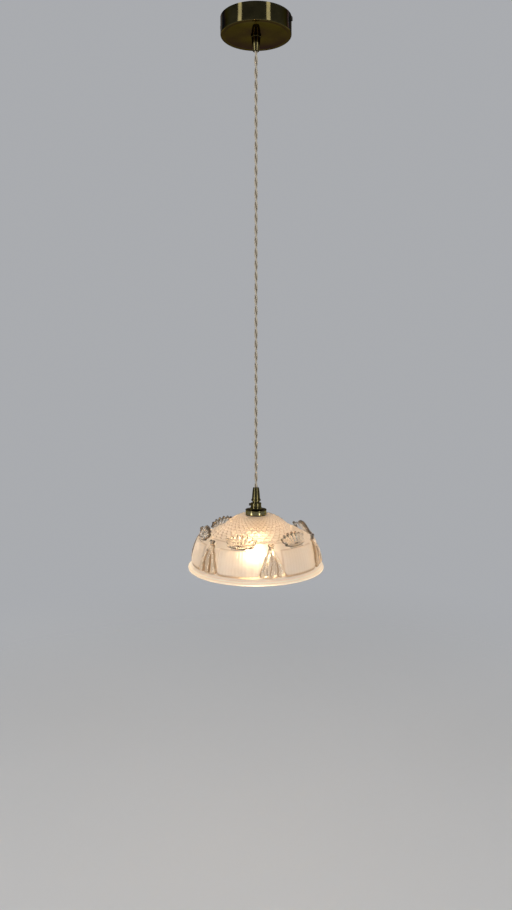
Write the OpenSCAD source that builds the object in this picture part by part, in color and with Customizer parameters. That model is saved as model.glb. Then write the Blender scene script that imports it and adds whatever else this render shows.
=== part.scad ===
// Pendant ceiling light: brass ceiling cup, twisted fabric flex, bayonet lampholder, pressed-glass shade.
// Origin: centre of the ceiling bracket on the ceiling plane. +Z is up, so the lamp hangs towards -Z.

/* [Ceiling cup] */
// Diameter of the cup
cup_d = 120; // [110:1:140]
// Height of the cup
cup_h = 28; // [24:1:34]
// Wall of the spun brass cup
cup_t = 1.2; // [0.8:0.1:1.5]
// Depth of the side screws below the ceiling
side_screw_drop = 8; // [7:0.5:10]

/* [Bracket] */
// Width of the steel strap
strap_w = 16; // [14:1:20]
// Thickness of the strap
strap_t = 1.5; // [1.2:0.1:2]
// Distance between the two ceiling-screw slots
slot_spacing = 80; // [76:1:84]
// End-to-end length of a slot
slot_length = 16; // [12:1:18]
// Width of a slot
slot_w = 4.8; // [4.2:0.1:5.2]

/* [Cord grips and flex] */
// Height of a brass cord grip under its flange
grip_h = 24.3; // [23:0.1:27]
// Diameter of the grip's mouth end
grip_tip_d = 11.2; // [10.6:0.1:12]
// Diameter of the grip's foot
grip_foot_d = 15; // [14:0.1:16]
// Diameter over the two twisted cores of the flex
flex_d = 6; // [5:0.5:6]
// Free length of flex between the two grips
flex_free = 747; // [500:0.5:1200]

/* [Lampholder] */
// Diameter of the lampholder cap's cup
holder_cup_d = 38; // [37:0.5:40]
// Diameter of the threaded skirt that passes through the shade
skirt_d = 29.2; // [29:0.1:29.6]
// Length of the skirt below the cap's shoulder
skirt_h = 39.5; // [38:0.5:41]

/* [Shade] */
// Diameter over the shade's rim
shade_d = 250; // [249:1:254]
// Height of the shade from rim to seat
shade_h = 96.5; // [96.5:0.5:97]
// Hole for the lampholder skirt
shade_hole_d = 30.8; // [30:0.1:32]
// Thickness of the pressed glass
glass_t = 4.5; // [4:0.1:5]

/* [Bulb] */
// Diameter of the golf-ball bulb
bulb_d = 45; // [40:1:50]
// Overall length of the bulb
bulb_l = 76; // [72:1:80]

/* [Hidden] */
$fn = 96;

// Shared colours
brass_colour = [0.62, 0.5, 0.24];
steel_colour = [0.72, 0.73, 0.75];
flex_colour = [0.85, 0.8, 0.68];
glass_colour = [0.95, 0.9, 0.83];

// Threads are drawn as plain cylinders of the major radius
m10_r = 5;
m4_r = 2;
m3_r = 1.5;
grip_bore_r = 3.5;
run_gap = 0.05;
cut = 1;

// Levels of the ceiling parts
cup_r = cup_d / 2;
floor_z = -cup_h + cup_t;
grip_mouth_z = -cup_h - grip_h;
nipple_top_z = -17;
lug_outer_x = cup_r - cup_t - 0.9;
lug_w = 12;
lug_drop = 14;

// Levels of the flex: it bends at the mouth of the upper grip
flex_r = flex_d / 2;
bend_r = flex_r - run_gap;
lamp_mouth_z = grip_mouth_z - flex_free;
flex_insert = 3.5;
flex_end_z = lamp_mouth_z - flex_insert;

// Levels of the lampholder, each measured from the lower grip's mouth
lamp_grip_foot_z = lamp_mouth_z - grip_h;
cap_top_z = lamp_grip_foot_z;
collar_top_z = cap_top_z - 4;
collar_low_z = collar_top_z - 7.4;
shoulder_z = collar_low_z - 5;
cap_low_z = shoulder_z - 8.8;
holder_cup_r = holder_cup_d / 2;
skirt_r = skirt_d / 2;
skirt_t = 0.85;
skirt_top_z = shoulder_z - 2.5;
skirt_low_z = skirt_top_z - skirt_h;
washer_t = 1;
seat_z = cap_low_z - washer_t;

// Levels of the shade, in its own frame with the rim at zero
repeats = 6;
rim_z = seat_z - shade_h;
shade_r = shade_d / 2;
dome_R = 82;
dome_cz = shade_h + 3.6 - dome_R;
cone_r = 60;
cone_slope = 0.446;
dome_base_r = 86;
dome_base_z = dome_cz + sqrt(dome_R * dome_R - cone_r * cone_r) - cone_slope * (dome_base_r - cone_r);
wall_R = 117;
wall_cz = 2.6;
wall_top = 55.5;
seat_low_z = dome_cz + sqrt(pow(dome_R - glass_t, 2) - 22 * 22);

// Levels inside the lampholder
insulator_top_z = skirt_top_z - 2.5;
flange_low_z = insulator_top_z - 4;
insulator_low_z = insulator_top_z - 13.5;
spring_top_z = insulator_top_z - 2;
contact_z = insulator_low_z - 2.7;
pin_drop = 6.8;
pin_z = contact_z - pin_drop;
barrel_r = 11.3;
barrel_t = 0.8;
push = 2;
plunger_y = 4.5;
plunger_r = 2.2;
plunger_l = 9.2;
bayonet_turn = 25;
ring_top_z = rim_z + seat_low_z - washer_t;

// Routes of the cords, in whole and half millimetres
upper_core_route = [[0, 1.5, -18], [0, 1.5, -14], [2, 2, -10.5], [6, 3.5, -9.5], [11, 4, -9.5], [16, 4, -9.5]];
lower_core_route = [[0, 1.5, 0], [0, 1.6, -3], [-0.6, 2.6, -6], [-1.3, 4.8, -8.2], [-1.8, 6.5, -9.5],
    [-1.8, 6.5, -10.7]];

// ---------- helpers ----------

function unit(v) = v / norm(v);
function tangent(p, i) = unit(p[min(i + 1, len(p) - 1)] - p[max(i - 1, 0)]);
function ring(p, i, r, sides, side_ref) =
    let (t = tangent(p, i), u = unit(cross(t, side_ref)), v = cross(t, u))
    [for (k = [0 : sides - 1]) p[i] + r * (cos(360 * k / sides) * u + sin(360 * k / sides) * v)];
function steps(a, b, n) = [for (i = [0 : n]) a + (b - a) * i / n];

// A closed tube swept along points; side_ref is never parallel to the route
module swept_tube(p, r, sides, side_ref) {
    n = len(p);
    points = [for (i = [0 : n - 1]) each ring(p, i, r, sides, side_ref)];
    walls = [for (i = [0 : n - 2], k = [0 : sides - 1])
        let (a = i * sides + k, b = i * sides + (k + 1) % sides)
            each [[a, b, b + sides], [a, b + sides, a + sides]]];
    start_cap = [for (k = [sides - 1 : -1 : 0]) k];
    end_cap = [for (k = [0 : sides - 1]) (n - 1) * sides + k];
    polyhedron(points, concat([start_cap], walls, [end_cap]));
}

// A tube standing on z_low
module pipe(r_out, r_in, z_low, z_top) {
    translate([0, 0, z_low]) difference() {
        cylinder(h = z_top - z_low, r = r_out);
        translate([0, 0, -cut]) cylinder(h = z_top - z_low + 2 * cut, r = r_in);
    }
}

// A slotted screw along +X: the shank starts at x0 and the head's underside is at x1
module slotted_screw(x0, x1, shank_r, head_r, head_h) {
    difference() {
        union() {
            translate([x0, 0, 0]) rotate([0, 90, 0]) cylinder(h = x1 - x0, r = shank_r);
            translate([x1, 0, 0]) rotate([0, 90, 0]) cylinder(h = head_h, r = head_r);
        }
        translate([x1 + head_h * 0.6, -head_r - cut, -0.45]) cube([head_h, 2 * (head_r + cut), 0.9]);
    }
}

module around(n) {
    for (k = [0 : n - 1]) rotate([0, 0, 360 * k / n]) children();
}

// ---------- ceiling parts ----------

module slot_cutter() {
    for (s = [-1, 1]) translate([s * slot_spacing / 2, 0, -strap_t - cut]) {
        run = slot_length - slot_w;
        for (e = [-1, 1]) translate([e * run / 2, 0, 0]) cylinder(h = strap_t + 2 * cut, r = slot_w / 2);
        translate([-run / 2, -slot_w / 2, 0]) cube([run, slot_w, strap_t + 2 * cut]);
    }
}

module ceiling_bracket() {
    color(steel_colour) difference() {
        union() {
            translate([-lug_outer_x, -lug_w / 2, -strap_t]) cube([2 * lug_outer_x, lug_w, strap_t]);
            translate([-slot_spacing / 2 - 12, -strap_w / 2, -strap_t])
                cube([slot_spacing + 24, strap_w, strap_t]);
            for (s = [0, 1]) mirror([s, 0, 0])
                translate([lug_outer_x - strap_t, -lug_w / 2, -lug_drop]) cube([strap_t, lug_w, lug_drop]);
        }
        slot_cutter();
        for (s = [-1, 1]) translate([s * (lug_outer_x - strap_t - cut), 0, -side_screw_drop])
            rotate([0, 90 * s, 0]) cylinder(h = strap_t + 2 * cut, r = m4_r + run_gap);
        translate([-18, 0, -strap_t - cut]) cylinder(h = strap_t + 2 * cut, r = m4_r);
        translate([20, 0, -strap_t - cut]) cylinder(h = strap_t + 2 * cut, r = m3_r);
    }
}

module earth_screw() {
    color(brass_colour) translate([-18, 0, 0]) rotate([0, 90, 0]) {
        slotted_screw(0.2, strap_t + 0.8, m4_r, 3.8, 2.4);
        translate([strap_t, 0, 0]) rotate([0, 90, 0]) cylinder(h = 0.8, r = 4.6);
    }
}

block_x = 11;
block_l = 18;
block_w = 17;
block_h = 13.5;
pole_y = 4;
pole_z = -9.5;

module terminal_block() {
    color("white") difference() {
        union() {
            translate([block_x, -block_w / 2, -strap_t - block_h + 3.5]) cube([block_l, block_w, block_h - 3.5]);
            for (s = [-1, 1]) translate([block_x + 2, s * pole_y - 3.4, -strap_t - block_h])
                cube([block_l - 4, 6.8, 4]);
        }
        for (s = [-1, 1]) {
            translate([block_x - cut, s * pole_y, pole_z]) rotate([0, 90, 0])
                cylinder(h = block_l + 2 * cut, r = 2.4);
            for (x = [4.5, 13.5]) translate([block_x + x, s * pole_y, -strap_t - block_h - cut])
                cylinder(h = 8, r = 1.8);
        }
        translate([block_x + block_l / 2, 0, -strap_t - block_h - cut]) cylinder(h = block_h + 2 * cut, r = m3_r);
    }
}

module terminal_sleeves() {
    color(brass_colour) for (s = [-1, 1]) difference() {
        translate([block_x + 1, s * pole_y, pole_z]) rotate([0, 90, 0]) cylinder(h = block_l - 2, r = 2.4);
        translate([block_x, s * pole_y, pole_z]) rotate([0, 90, 0]) cylinder(h = block_l, r = 1.6);
        for (x = [4.5, 13.5]) translate([block_x + x, s * pole_y, pole_z - 4]) cylinder(h = 4, r = 1.2);
    }
}

module terminal_screws() {
    color(steel_colour) for (s = [-1, 1], x = [4.5, 13.5])
        translate([block_x + x, s * pole_y, 0]) rotate([0, 90, 0]) {
            top = -pole_z + 1.3;
            slotted_screw(top, top + 1.5, 1.2, 1.2, 2);
        }
}

module terminal_fixing_screw() {
    color(steel_colour) translate([block_x + block_l / 2, 0, 0]) rotate([0, 90, 0])
        slotted_screw(0.2, strap_t + block_h - 3.5, m3_r, 1.5, 2);
}

module canopy() {
    edge_r = 1.6;
    color(brass_colour) difference() {
        rotate_extrude($fn = 160) difference() {
            union() {
                translate([0, -cup_h + edge_r]) square([cup_r, cup_h - edge_r]);
                translate([0, -cup_h]) square([cup_r - edge_r, edge_r]);
                translate([cup_r - edge_r, -cup_h + edge_r]) circle(r = edge_r, $fn = 32);
            }
            translate([-cut, floor_z]) square([cup_r - cup_t + cut, cup_h]);
        }
        translate([0, 0, -cup_h - cut]) cylinder(h = cup_t + 2 * cut, r = m10_r + 0.2);
        for (s = [-1, 1]) translate([0, 0, -side_screw_drop]) rotate([0, 90 * s, 0])
            translate([0, 0, cup_r - 5]) cylinder(h = 8, r = m4_r + 0.3);
    }
}

module canopy_screw() {
    slotted_screw(cup_r - 8, cup_r + 0.05, m4_r, 3.6, 2.6);
}

module canopy_screw_right() {
    color("dimgray") translate([0, 0, -side_screw_drop]) canopy_screw();
}

module canopy_screw_left() {
    color("dimgray") translate([0, 0, -side_screw_drop]) rotate([0, 0, 180]) canopy_screw();
}

// A conical cord grip standing on its foot at z = 0, mouth up, threaded nipple below
module cord_grip(height, nipple_l, grub_z) {
    foot_r = grip_foot_d / 2;
    tip_r = grip_tip_d / 2;
    base_h = 2.6;
    difference() {
        union() {
            cylinder(h = base_h, r = foot_r + 1.2);
            translate([0, 0, base_h]) cylinder(h = height - base_h - 1, r1 = foot_r, r2 = tip_r);
            translate([0, 0, height - 1]) cylinder(h = 1, r1 = tip_r, r2 = tip_r - 0.6);
            translate([0, 0, -nipple_l]) cylinder(h = nipple_l, r = m10_r);
        }
        translate([0, 0, -nipple_l - cut]) cylinder(h = height + nipple_l + 2 * cut, r = grip_bore_r);
        translate([0, 0, grub_z]) rotate([-90, 0, 0]) cylinder(h = foot_r + 2, r = m3_r);
    }
}

// A headless screw along +Y from r_in to r_out
module grub_screw(r_in, r_out) {
    difference() {
        rotate([-90, 0, 0]) translate([0, 0, r_in]) cylinder(h = r_out - r_in, r = m3_r);
        translate([-2, r_out - 0.9, -0.3]) cube([4, 2, 0.6]);
    }
}

canopy_grub_h = 16;
lamp_grub_h = 12;

module canopy_cord_grip() {
    color(brass_colour) translate([0, 0, -cup_h]) mirror([0, 0, 1])
        cord_grip(grip_h, nipple_top_z + cup_h, canopy_grub_h);
}

module canopy_grub_screw() {
    color(steel_colour) translate([0, 0, -cup_h - canopy_grub_h]) grub_screw(flex_r, 6);
}

module canopy_washer() {
    color(brass_colour) pipe(9, m10_r + 0.1, floor_z, floor_z + 1);
}

module canopy_locknut() {
    color(brass_colour) difference() {
        translate([0, 0, floor_z + 1]) cylinder(h = 3.5, r = 8, $fn = 6);
        translate([0, 0, floor_z]) cylinder(h = 6, r = m10_r);
    }
}

// ---------- flex ----------

module upper_flex_tail() {
    color(flex_colour)
        swept_tube(steps([0, 0, grip_mouth_z + flex_r], [0, 0, -18], 3), flex_r, 12, [0, 1, 0]);
}

module upper_core_live() {
    color("sienna") swept_tube(upper_core_route, 1.3, 8, [0, 1, 0]);
}

module upper_core_neutral() {
    color("steelblue") mirror([0, 1, 0]) swept_tube(upper_core_route, 1.3, 8, [0, 1, 0]);
}

// The bending point of the flex in the mouth of the upper grip
module flex_neck() {
    color(flex_colour) translate([0, 0, grip_mouth_z]) sphere(r = bend_r, $fn = 32);
}

module flex() {
    rings = ceil((flex_free - flex_r) / (2.6 * flex_d));
    color(flex_colour)
        swept_tube(steps([0, 0, grip_mouth_z - flex_r], [0, 0, flex_end_z], rings), flex_r, 12, [0, 1, 0]);
}

core_split_z = collar_top_z - 2;

module lower_flex_tail() {
    color(flex_colour)
        swept_tube(steps([0, 0, flex_end_z - run_gap], [0, 0, core_split_z], 3), flex_r, 12, [0, 1, 0]);
}

module lower_core_live() {
    color("sienna") translate([0, 0, core_split_z]) swept_tube(lower_core_route, 1.3, 8, [1, 0, 0]);
}

module lower_core_neutral() {
    color("steelblue") translate([0, 0, core_split_z]) mirror([0, 1, 0])
        swept_tube(lower_core_route, 1.3, 8, [1, 0, 0]);
}

// ---------- lampholder ----------

module lamp_cord_grip() {
    color(brass_colour) translate([0, 0, lamp_grip_foot_z]) cord_grip(grip_h, 8, lamp_grub_h);
}

module lamp_grub_screw() {
    color(steel_colour) translate([0, 0, lamp_grip_foot_z + lamp_grub_h]) grub_screw(flex_r, 6.2);
}

module cap_section() {
    neck_r = 6.8;
    collar_r = 9.8;
    flare_r = 14.5;
    edge_h = 0.6;
    hollow_r = 5.4;
    rise_r = 12;
    difference() {
        union() {
            translate([0, collar_top_z]) square([neck_r, cap_top_z - collar_top_z]);
            translate([0, collar_low_z]) square([collar_r, collar_top_z - collar_low_z]);
            // hollow flare between the sheet's shoulder and the collar
            difference() {
                polygon([[0, shoulder_z], [flare_r, shoulder_z], [flare_r, shoulder_z + edge_h],
                         [collar_r - edge_h, collar_low_z], [0, collar_low_z]]);
                translate([flare_r + edge_h, shoulder_z + hollow_r + 0.5]) circle(r = hollow_r, $fn = 48);
            }
            translate([0, cap_low_z]) square([holder_cup_r, shoulder_z - cap_low_z]);
            translate([holder_cup_r - 0.4, shoulder_z - 0.5]) circle(r = 0.8, $fn = 32);
        }
        square([m10_r * 2, 4000], center = true);
        polygon([[0, skirt_top_z], [rise_r, skirt_top_z], [rise_r, shoulder_z - 1.2],
                 [m10_r, collar_low_z - edge_h], [0, collar_low_z - edge_h]]);
        translate([0, skirt_top_z - 6]) square([skirt_r, 6 + run_gap]);
        translate([0, cap_low_z - cut]) square([holder_cup_r - 1.1, skirt_top_z - 6 - cap_low_z + cut + 0.01]);
    }
}

module lampholder_cap() {
    color(brass_colour) difference() {
        rotate_extrude() cap_section();
        translate([0, 0, (collar_top_z + collar_low_z) / 2]) rotate([0, -90, 0]) cylinder(h = 12, r = m3_r);
    }
}

module cap_locking_screw() {
    color("dimgray") translate([0, 0, (collar_top_z + collar_low_z) / 2]) rotate([0, 0, 180])
        slotted_screw(m10_r, 10.4, m3_r, 2.3, 2.6);
}

module lampholder_skirt() {
    color(brass_colour) pipe(skirt_r, skirt_r - skirt_t, skirt_low_z, skirt_top_z);
}

// Barrel with two J-shaped slots: entry leg, cross leg and the notch where the pin rests
module bayonet_barrel() {
    slot_half = 1.3;
    cross_z = pin_z + push;
    low_z = skirt_low_z + 3;
    color(brass_colour) difference() {
        pipe(barrel_r + barrel_t, barrel_r, low_z, flange_low_z);
        around(2) {
            translate([barrel_r - 1, -slot_half, pin_z - slot_half]) cube([3, 2 * slot_half, push + 2 * slot_half]);
            translate([0, 0, cross_z - slot_half]) rotate([0, 0, -bayonet_turn])
                rotate_extrude(angle = bayonet_turn) translate([barrel_r - 1, 0]) square([3, 2 * slot_half]);
            rotate([0, 0, -bayonet_turn]) translate([barrel_r - 1, -slot_half, low_z - cut])
                cube([3, 2 * slot_half, cross_z - low_z + slot_half + cut]);
        }
    }
}

module insulator() {
    color("ivory") difference() {
        union() {
            translate([0, 0, flange_low_z]) cylinder(h = insulator_top_z - flange_low_z, r = skirt_r - skirt_t);
            translate([0, 0, insulator_low_z]) cylinder(h = flange_low_z - insulator_low_z, r = barrel_r);
        }
        for (s = [-1, 1]) translate([0, s * plunger_y, insulator_low_z - cut])
            cylinder(h = spring_top_z - insulator_low_z + cut, r = plunger_r + run_gap, $fn = 48);
    }
}

// Each terminal takes its core from above, beside its screw
terminal_y = 6.5;
terminal_screw_x = 1.7;
terminal_h = 4.5;

module holder_terminals() {
    half_l = 3.5;
    half_w = 2.5;
    color(brass_colour) for (s = [-1, 1]) difference() {
        translate([-half_l, s * terminal_y - half_w, insulator_top_z]) cube([2 * half_l, 2 * half_w, terminal_h]);
        translate([terminal_screw_x, s * terminal_y, insulator_top_z + 2]) cylinder(h = terminal_h, r = 1.2);
    }
}

module holder_terminal_screws() {
    color(steel_colour) for (s = [-1, 1])
        translate([terminal_screw_x, s * terminal_y, insulator_top_z]) rotate([0, -90, 0])
            slotted_screw(2.2, terminal_h, 1.2, 1.6, 1.1);
}

module plunger() {
    translate([0, 0, contact_z + plunger_r * 0.5]) cylinder(h = plunger_l - plunger_r * 0.5, r = plunger_r);
    translate([0, 0, contact_z]) cylinder(h = plunger_r * 0.5, r1 = plunger_r - 0.9, r2 = plunger_r);
}

module plunger_front() {
    color(brass_colour) translate([0, -plunger_y, 0]) plunger();
}

module plunger_back() {
    color(brass_colour) translate([0, plunger_y, 0]) plunger();
}

spring_wire_r = 0.3;
spring_turns = 5;

module plunger_spring() {
    low = contact_z + plunger_l + spring_wire_r;
    high = spring_top_z - spring_wire_r;
    coil_r = plunger_r - spring_wire_r - 0.15;
    turns = [for (i = [0 : spring_turns * 12]) [
        coil_r * cos(30 * i), coil_r * sin(30 * i), low + (high - low) * i / (spring_turns * 12)]];
    swept_tube(turns, spring_wire_r, 6, [0, 0, 1]);
}

module plunger_spring_front() {
    color(steel_colour) translate([0, -plunger_y, 0]) plunger_spring();
}

module plunger_spring_back() {
    color(steel_colour) translate([0, plunger_y, 0]) plunger_spring();
}

// ---------- shade ----------

module upper_washer() {
    color("black") pipe(holder_cup_r - 0.2, skirt_r + 0.2, seat_z, cap_low_z);
}

module lower_washer() {
    color("black") pipe(20, skirt_r + 0.2, ring_top_z, ring_top_z + washer_t);
}

module shade_ring() {
    color(brass_colour) difference() {
        union() {
            translate([0, 0, ring_top_z - 2.5]) cylinder(h = 2.5, r = 20.5);
            translate([0, 0, ring_top_z - 8]) cylinder(h = 6, r = 17.4);
        }
        translate([0, 0, ring_top_z - 8 - cut]) cylinder(h = 8 + 2 * cut, r = skirt_r);
    }
}

// Half section of everything under the glass surface at depth t below the outside
module glass_region(t) {
    top_r = cone_r - 0.45 * t;
    top_z = dome_cz + sqrt(pow(dome_R - t, 2) - top_r * top_r);
    base_r = dome_base_r - 0.45 * t;
    base_z = top_z - cone_slope * (base_r - top_r);
    wall_z = wall_top - 0.9 * t;
    wall_r = sqrt(pow(wall_R - t, 2) - pow(wall_z - wall_cz, 2));
    intersection() {
        translate([0, dome_cz]) circle(r = dome_R - t, $fn = 200);
        translate([0, base_z]) square([top_r, shade_h]);
    }
    polygon([[0, -cut], [wall_r, -cut], [wall_r, wall_z], [base_r, base_z], [top_r, top_z], [0, top_z]]);
    intersection() {
        translate([0, wall_cz]) circle(r = wall_R - t, $fn = 200);
        translate([0, -cut]) square([200, wall_z + cut]);
    }
}

// Stepped foot ring under the wall
module flange_section() {
    inner = wall_R - 3.5;
    polygon([[inner, 0], [shade_r - 0.4, 0], [shade_r, 0.6], [shade_r, 2.2], [shade_r - 2.2, 4],
             [shade_r - 3.2, 4], [shade_r - 4.3, 6.6], [shade_r - 6, 7], [shade_r - 6.6, 9], [inner, 10]]);
}

module shade_shell() {
    rotate_extrude($fn = 200) difference() {
        union() {
            difference() {
                glass_region(0);
                glass_region(glass_t);
                translate([0, -2 * cut]) square([200, 2 * cut]);
            }
            flange_section();
            translate([0, seat_low_z]) square([22, shade_h - seat_low_z - 1]);
        }
        translate([-cut, shade_h]) square([60, 20]);
        translate([-cut, -cut]) square([shade_hole_d / 2 + cut, 200]);
        polygon([[0, -cut], [wall_R + 3, -cut], [wall_R + 3, 0], [wall_R - 4.5, 8.6], [0, 8.6]]);
    }
}

// Outlines stand upright in front of the wall and are carried around the axis as prisms
module radial_prisms() {
    around(repeats) translate([0, -60, 0]) rotate([90, 0, 0]) linear_extrude(height = 75) children();
}

// A skin on the bulging wall, up to proud outside it, kept where an outline covers it
module wall_relief(proud, z_low, z_top) {
    intersection() {
        rotate_extrude($fn = 200) intersection() {
            difference() {
                translate([0, wall_cz]) circle(r = wall_R + proud, $fn = 200);
                translate([0, wall_cz]) circle(r = wall_R - 2.2, $fn = 200);
            }
            translate([60, z_low]) square([80, z_top - z_low]);
        }
        radial_prisms() children();
    }
}

// A skin standing on the shoulder as a cone that leans inwards
module shoulder_relief(proud, foot_z, head_z) {
    lean = 0.45;
    foot_r = 103.5;
    base_z = 50;
    low_r = foot_r - lean * (foot_z - base_z);
    top_r = foot_r - lean * (head_z - base_z);
    intersection() {
        rotate_extrude($fn = 200)
            polygon([[low_r, foot_z], [low_r + 3.4 + proud, foot_z], [top_r + 3.4 + proud, head_z], [top_r, head_z]]);
        radial_prisms() children();
    }
}

// An upright skin that carries a tassel's neck and knot above the wall
module knot_relief(proud) {
    foot = 109 + proud;
    tip = 105.2 + proud;
    intersection() {
        rotate_extrude($fn = 200)
            polygon([[103.4, 50], [foot, 50], [foot - 2.4, 60], [tip, 71], [101.6, 71], [101.6, 58]]);
        radial_prisms() children();
    }
}

// Rounded outline of a panel
panel_half_w = 41;
panel_low = 10;
panel_corner_r = 10;
reeds = 13;

module panel_outline() {
    low = panel_low + panel_corner_r;
    translate([-panel_half_w, low]) square([2 * panel_half_w, wall_top - low + 3]);
    translate([-panel_half_w + panel_corner_r, panel_low])
        square([2 * (panel_half_w - panel_corner_r), wall_top - panel_low]);
    for (s = [-1, 1]) translate([s * (panel_half_w - panel_corner_r), low]) circle(r = panel_corner_r, $fn = 48);
}

// Upright reeds of a panel
module reed_outlines() {
    pitch = 2 * (panel_half_w - 3) / reeds;
    for (i = [0 : reeds - 1]) {
        x = (i - (reeds - 1) / 2) * pitch;
        low = abs(x) > panel_half_w - panel_corner_r ? panel_low + 6 : panel_low + 2.5;
        translate([x - pitch * 0.36, low]) square([pitch * 0.72, wall_top - low]);
    }
}

// Drop outline of a tassel: narrow under the knot, round and wide at the foot
tassel_foot_r = 9.5;
tassel_foot_x = 14;
tassel_low = 10;

module tassel_outline() {
    foot_z = tassel_low + tassel_foot_r;
    polygon([[-23.4, foot_z], [23.4, foot_z], [18, 34], [12.6, 47], [8.2, 58], [-8.2, 58], [-12.6, 47], [-18, 34]]);
    translate([-tassel_foot_x, tassel_low]) square([2 * tassel_foot_x, tassel_foot_r]);
    for (s = [-1, 1]) translate([s * tassel_foot_x, foot_z]) circle(r = tassel_foot_r, $fn = 48);
}

// Folds of a tassel, spreading from the knot
module fold_outlines() {
    fold_r = 2.9;
    for (i = [-2 : 2]) {
        x = i * 8.6;
        foot_z = 15.5 + abs(x) * 0.18;
        polygon([[x - fold_r * 0.6, foot_z - 2.4], [x + fold_r * 0.6, foot_z - 2.4], [x + fold_r, foot_z],
                 [x * 0.36 + 1, 55], [x * 0.36 - 1, 55], [x - fold_r, foot_z]]);
    }
}

// Bow-shaped knot over a tassel's neck
module knot_outline() {
    for (s = [-1, 1]) translate([s * 3, 66.2]) circle(r = 3.3, $fn = 32);
    translate([-5, 54]) square([10, 7.5]);
    translate([-2.4, 60]) square([4.8, 6]);
}

// Scalloped outline of a fan, its lobes spreading from a point just under the shoulder
fan_base_z = 56;
fan_half_w = 25;
fan_rise = 24;
fan_spread = 75;
lobe_r = 4.2;

function fan_reach(a) = 1 / sqrt(pow(sin(a) / fan_half_w, 2) + pow(cos(a) / fan_rise, 2));

module fan_outline() {
    polygon([[-fan_half_w + 3, fan_base_z - 3], [fan_half_w - 3, fan_base_z - 3], [fan_half_w, fan_base_z + 7],
             [0, fan_base_z + fan_rise - 1], [-fan_half_w, fan_base_z + 7]]);
    for (i = [-3 : 3]) {
        a = fan_spread * i / 3;
        translate([fan_reach(a) * sin(a), fan_base_z + fan_reach(a) * cos(a)]) circle(r = lobe_r, $fn = 32);
    }
}

// Raised ribs of a fan, each ending in a bead, over a crescent foot
module fan_rib_outlines() {
    foot_l = 9;
    for (i = [-3 : 3]) {
        a = fan_spread * i / 3;
        l = fan_reach(a);
        translate([0, fan_base_z]) rotate([0, 0, -a])
            polygon([[-0.9, foot_l], [0.9, foot_l], [2.1, l - 2], [-2.1, l - 2]]);
        translate([l * sin(a), fan_base_z + l * cos(a)]) circle(r = 2.6, $fn = 32);
    }
}

module shade() {
    color(glass_colour) translate([0, 0, rim_z]) {
        shade_shell();
        wall_relief(1.4, 6, wall_top + 1.5) panel_outline();
        wall_relief(1.9, 6, wall_top + 0.5) reed_outlines();
        rotate([0, 0, 180 / repeats]) {
            wall_relief(3.6, 7, wall_top - 0.8) tassel_outline();
            wall_relief(5.6, 7, wall_top - 1.8) fold_outlines();
            knot_relief(0.6) knot_outline();
        }
        shoulder_relief(0.6, 50, 86) fan_outline();
        shoulder_relief(1.8, 53, 85) fan_rib_outlines();
    }
}

// ---------- bulb ----------

bulb_r = bulb_d / 2;
bulb_low_z = contact_z - bulb_l;
bulb_centre_z = bulb_low_z + bulb_r;
bulb_cap_r = 11;
bulb_cap_low_z = contact_z - 25;

module bulb_globe() {
    neck_r = 10.4;
    color("white") rotate_extrude() difference() {
        union() {
            intersection() {
                translate([0, bulb_centre_z]) circle(r = bulb_r);
                translate([0, bulb_low_z]) square([bulb_r, bulb_d]);
            }
            polygon([[0, bulb_centre_z], [bulb_r * cos(38), bulb_centre_z + bulb_r * sin(38)],
                     [neck_r + 1.6, bulb_cap_low_z - 3], [neck_r, bulb_cap_low_z], [neck_r, bulb_cap_low_z + 4],
                     [0, bulb_cap_low_z + 4]]);
        }
        translate([0, bulb_centre_z]) intersection() {
            circle(r = bulb_r - 0.9);
            translate([0, -bulb_r]) square([bulb_r, bulb_d]);
        }
        translate([0, bulb_centre_z]) square([neck_r - 1.2, bulb_cap_low_z + 2.8 - bulb_centre_z]);
    }
}

module bulb_cap() {
    color(steel_colour) {
        difference() {
            translate([0, 0, bulb_cap_low_z]) cylinder(h = contact_z - 2.6 - bulb_cap_low_z, r = bulb_cap_r);
            translate([0, 0, bulb_cap_low_z - cut])
                cylinder(h = contact_z - 3.2 - bulb_cap_low_z + cut, r = bulb_cap_r - 0.6);
            translate([0, 0, contact_z - 5]) cylinder(h = 5, r = bulb_cap_r - 2);
        }
        for (s = [0, 180]) rotate([0, 90, s]) translate([-pin_z, 0, bulb_cap_r - 0.6])
            cylinder(h = 3, r = 1.05, $fn = 32);
    }
}

module bulb_insulator() {
    color("black") {
        translate([0, 0, contact_z - 2.6]) cylinder(h = 2, r1 = bulb_cap_r - 0.6, r2 = bulb_cap_r - 1.6);
        translate([0, 0, contact_z - 3.2]) cylinder(h = 0.6, r = bulb_cap_r - 2);
    }
}

module bulb_contacts() {
    color(steel_colour) for (s = [-1, 1]) translate([0, s * plunger_y, contact_z - 0.6]) cylinder(h = 0.6, r = 2.7);
}

ceiling_bracket();
earth_screw();
terminal_block();
terminal_sleeves();
terminal_screws();
terminal_fixing_screw();
canopy();
canopy_screw_left();
canopy_screw_right();
canopy_cord_grip();
canopy_grub_screw();
canopy_washer();
canopy_locknut();
upper_flex_tail();
upper_core_live();
upper_core_neutral();
flex_neck();
flex();
lamp_cord_grip();
lamp_grub_screw();
lower_flex_tail();
lower_core_live();
lower_core_neutral();
lampholder_cap();
cap_locking_screw();
lampholder_skirt();
bayonet_barrel();
insulator();
holder_terminals();
holder_terminal_screws();
plunger_front();
plunger_back();
plunger_spring_front();
plunger_spring_back();
upper_washer();
shade();
lower_washer();
shade_ring();
bulb_globe();
bulb_cap();
bulb_insulator();
bulb_contacts();
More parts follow.
